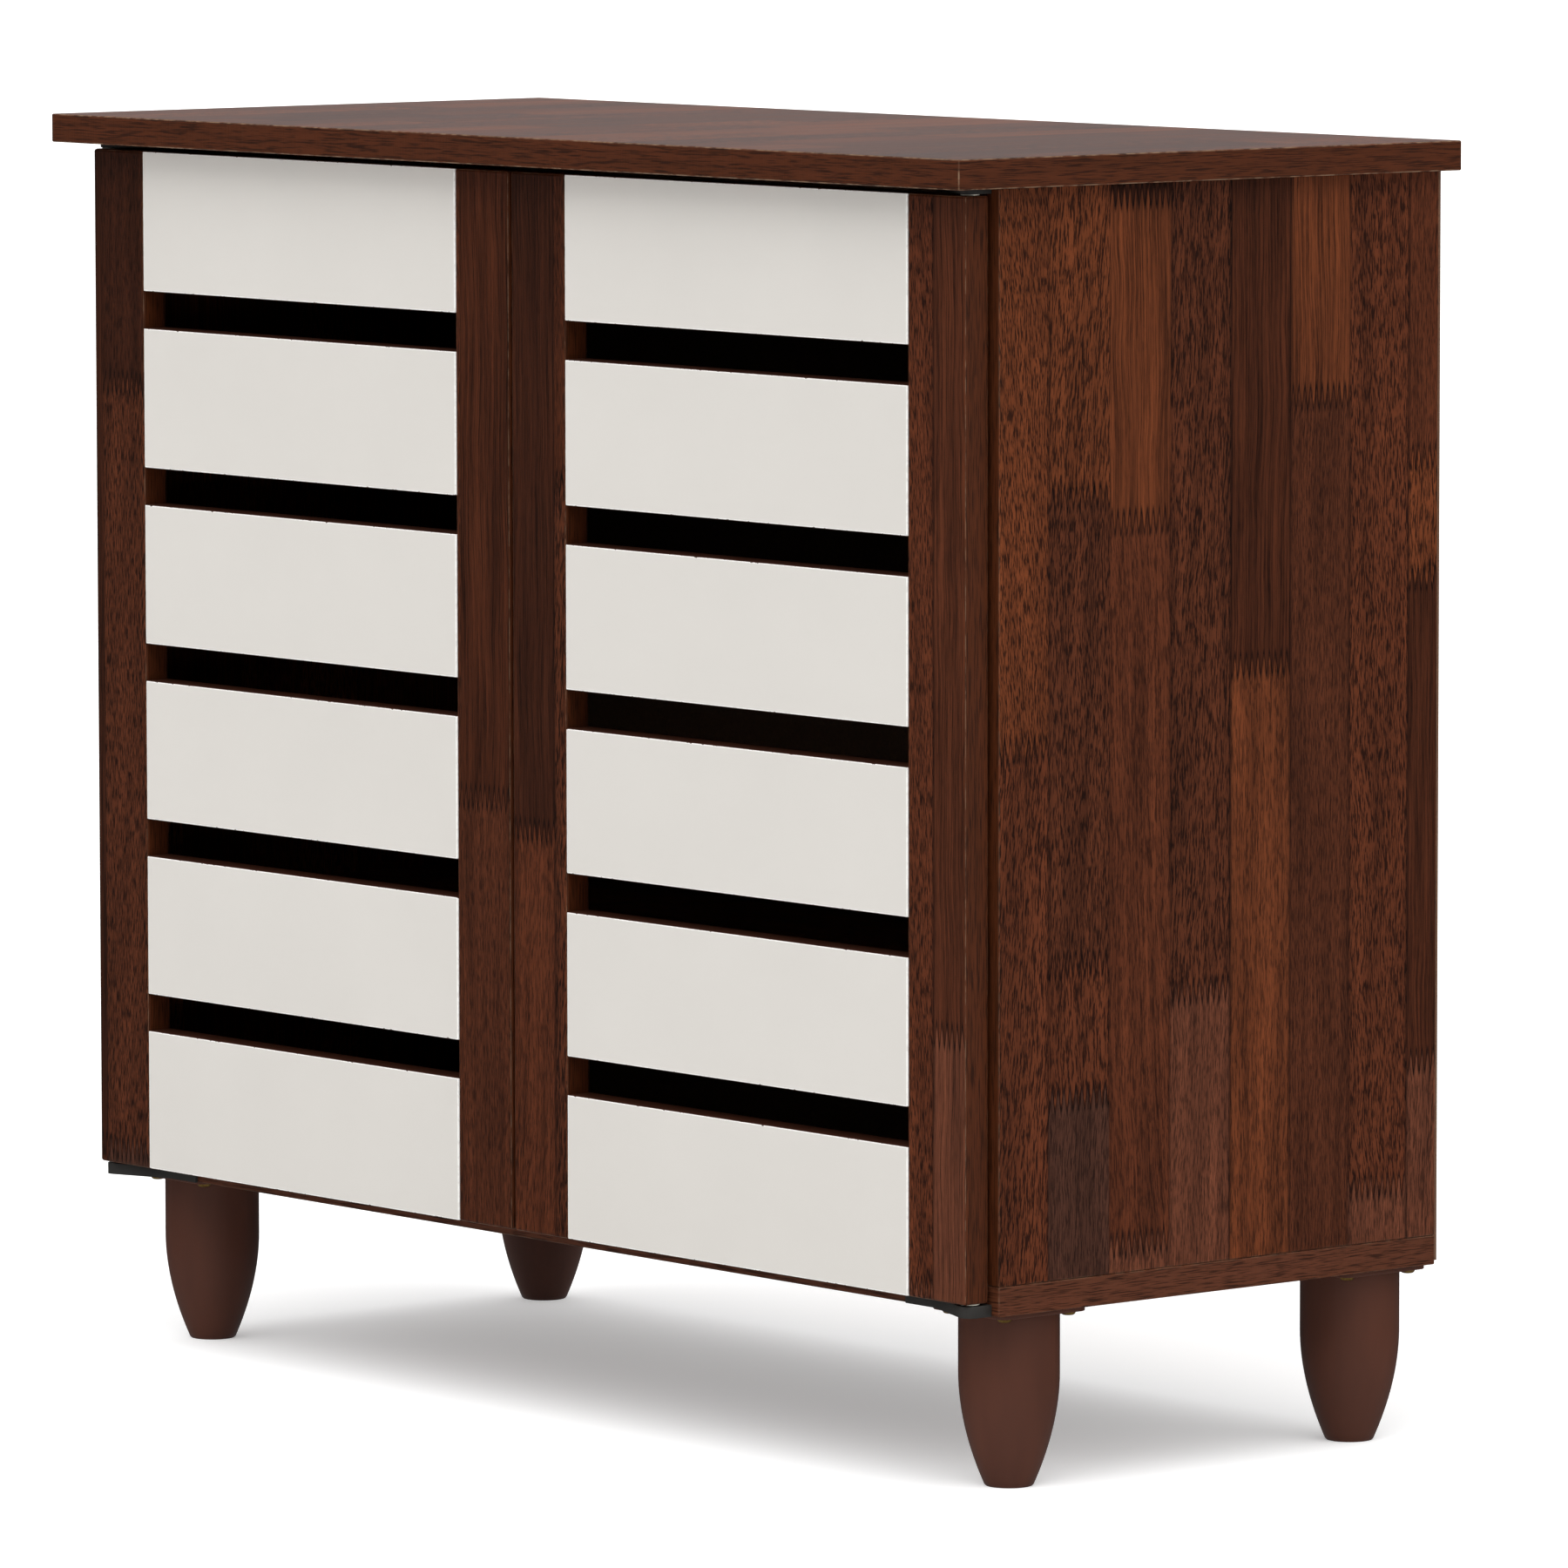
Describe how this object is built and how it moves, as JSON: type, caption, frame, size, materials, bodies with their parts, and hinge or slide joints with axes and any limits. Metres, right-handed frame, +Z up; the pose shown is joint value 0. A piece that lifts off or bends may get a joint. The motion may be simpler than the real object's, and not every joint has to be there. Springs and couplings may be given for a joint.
{
  "type": "shoe cabinet",
  "caption": "Low shoe cabinet on turned legs, with slatted doors on pivot hinges, peg-hung shelves inside and a board top.",
  "frame": {"origin": "on the floor, under the middle of the top board", "axes": "+X to the cabinet's right seen from the front, +Y from front to back, +Z up"},
  "size_m": [0.79, 0.352, 0.7],
  "materials": {
    "walnut_board": "walnut finger-joint print on particle board, satin",
    "white_board": "white melamine on particle board, satin",
    "fibre_board": "bare brown hardboard, matt",
    "leg_plastic": "dark brown moulded plastic, satin",
    "hinge_plastic": "dark grey moulded plastic, matt",
    "bush_plastic": "natural nylon",
    "steel": "zinc-plated steel"
  },
  "bodies": {
    "carcass": {"top_panel": "walnut_board", "bottom_panel": "walnut_board", "side_panel_left": "walnut_board", "side_panel_right": "walnut_board", "back_panel": "fibre_board", "shelf_lower": "walnut_board", "shelf_middle": "walnut_board", "shelf_upper": "walnut_board", "shelf_peg_lower_front_left": "steel", "shelf_peg_lower_front_right": "steel", "shelf_peg_lower_back_left": "steel", "shelf_peg_lower_back_right": "steel", "shelf_peg_middle_front_left": "steel", "shelf_peg_middle_front_right": "steel", "shelf_peg_middle_back_left": "steel", "shelf_peg_middle_back_right": "steel", "shelf_peg_upper_front_left": "steel", "shelf_peg_upper_front_right": "steel", "shelf_peg_upper_back_left": "steel", "shelf_peg_upper_back_right": "steel", "leg_plate_front_left": "leg_plastic", "leg_plate_front_right": "leg_plastic", "leg_plate_back_left": "leg_plastic", "leg_plate_back_right": "leg_plastic", "leg_front_left": "leg_plastic", "leg_front_right": "leg_plastic", "leg_back_left": "leg_plastic", "leg_back_right": "leg_plastic", "hinge_plate_bottom_left": "hinge_plastic", "hinge_plate_bottom_right": "hinge_plastic", "hinge_plate_top_left": "hinge_plastic", "hinge_plate_top_right": "hinge_plastic", "hinge_pin_bottom_left": "steel", "hinge_pin_bottom_right": "steel", "hinge_pin_top_left": "steel", "hinge_pin_top_right": "steel", "magnetic_catch": "hinge_plastic"},
    "door_left": {"door_left_stile_outer": "walnut_board", "door_left_stile_inner": "walnut_board", "door_left_slat_1": "white_board", "door_left_slat_2": "white_board", "door_left_slat_3": "white_board", "door_left_slat_4": "white_board", "door_left_slat_5": "white_board", "door_left_slat_6": "white_board", "door_left_bush_bottom": "bush_plastic", "door_left_bush_top": "bush_plastic", "door_left_strike": "steel"},
    "door_right": {"door_right_stile_outer": "walnut_board", "door_right_stile_inner": "walnut_board", "door_right_slat_1": "white_board", "door_right_slat_2": "white_board", "door_right_slat_3": "white_board", "door_right_slat_4": "white_board", "door_right_slat_5": "white_board", "door_right_slat_6": "white_board", "door_right_bush_bottom": "bush_plastic", "door_right_bush_top": "bush_plastic", "door_right_strike": "steel"}
  },
  "joints": [
    {"name": "door_left_hinge", "type": "hinge", "parent": "carcass", "child": "door_left", "pos_m": [-0.3737, -0.1502, 0.3918], "axis": [0, 0, -1], "range_deg": [0, 180]},
    {"name": "door_right_hinge", "type": "hinge", "parent": "carcass", "child": "door_right", "pos_m": [0.3737, -0.1502, 0.3918], "axis": [0, 0, 1], "range_deg": [0, 180]}
  ]
}
